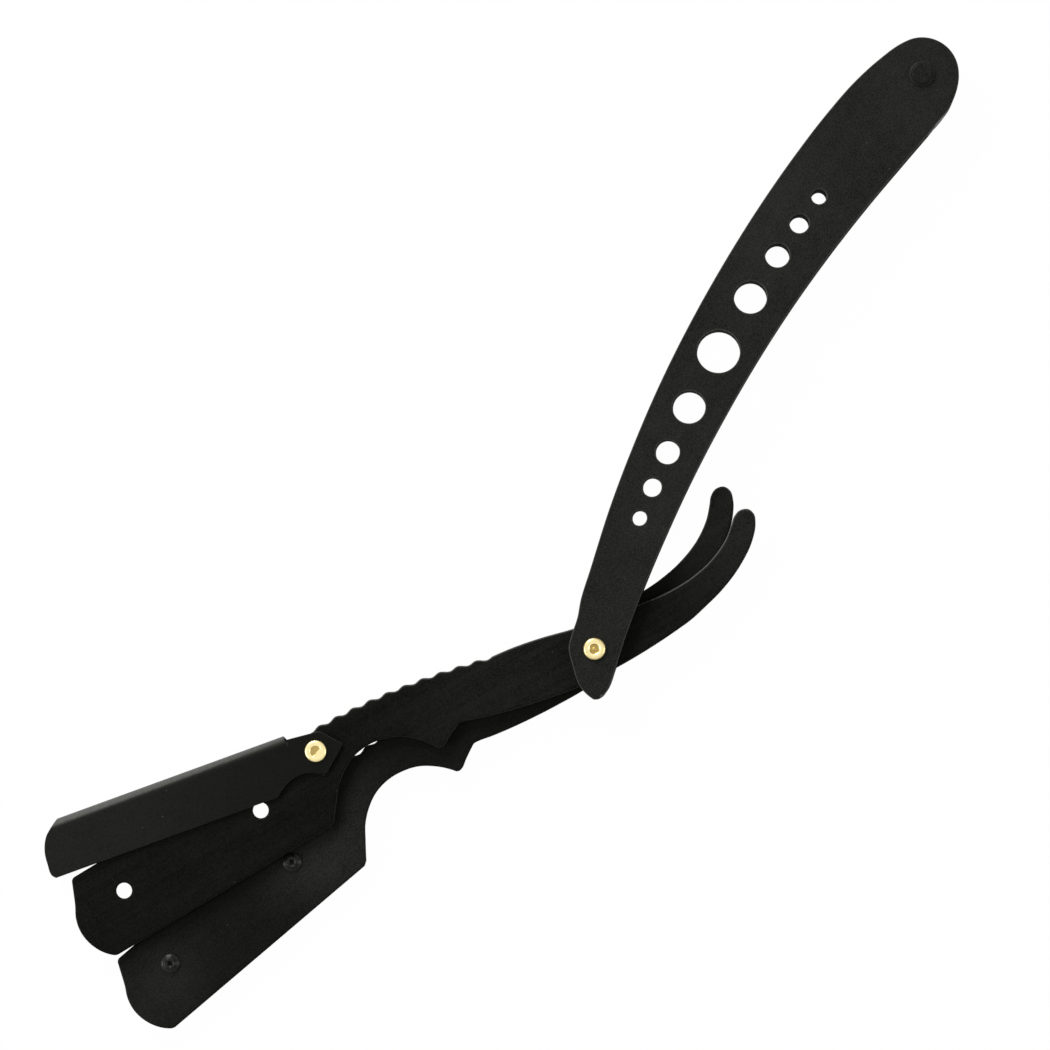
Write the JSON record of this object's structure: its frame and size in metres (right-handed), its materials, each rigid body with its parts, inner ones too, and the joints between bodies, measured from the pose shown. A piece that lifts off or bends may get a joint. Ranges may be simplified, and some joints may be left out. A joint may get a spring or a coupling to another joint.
{
  "type": "replaceable blade straight razor",
  "caption": "Folding straight razor: two flat pivoting arms fan open to take a half blade, a folded cover locks them, and they close between two pierced handle scales.",
  "frame": {"origin": "the middle of the pivot rivet's flat rear head, where the razor lies on a table", "axes": "+Y from the pivot rivet to the rivet at the handle's far end, +Z from the rear scale to the front scale"},
  "size_m": [0.0891, 0.2364, 0.0085],
  "materials": {
    "handle_black": "satin black coating with a fine grain",
    "arm_black": "satin black coating with faint lengthwise rub marks",
    "cover_black": "satin black coating, brighter along the fold",
    "rivet_black": "semi-gloss black coating",
    "rivet_brass": "bright rolled brass",
    "spacer_grey": "dull dark grey",
    "washer_steel": "turned steel"
  },
  "bodies": {
    "handle": {"front_scale": "handle_black", "rear_scale": "handle_black", "handle_end_spacer": "spacer_grey", "handle_end_rivet": "rivet_black", "pivot_rivet": "rivet_brass", "front_pivot_washer": "washer_steel", "middle_pivot_washer": "washer_steel", "rear_pivot_washer": "washer_steel"},
    "front_arm": {"front_arm": "arm_black", "cover_rivet": "rivet_brass"},
    "rear_arm": {"rear_arm": "arm_black", "tip_blade_stud": "rivet_black", "heel_blade_stud": "rivet_black"},
    "lock_cover": {"lock_cover": "cover_black"}
  },
  "joints": [
    {"name": "arms_fold", "type": "hinge", "parent": "handle", "child": "front_arm", "pos_m": [0, 0, 0.0045], "axis": [0, 0, 1], "range_deg": [-110, 212]},
    {"name": "rear_arm_swing", "type": "hinge", "parent": "front_arm", "child": "rear_arm", "pos_m": [0, 0, 0.003], "axis": [0, 0, 1], "range_deg": [-9.25, 45]},
    {"name": "cover_swing", "type": "hinge", "parent": "front_arm", "child": "lock_cover", "pos_m": [-0.03652, -0.04325, 0.0045], "axis": [0, 0, 1], "range_deg": [-80, 10.4]}
  ]
}
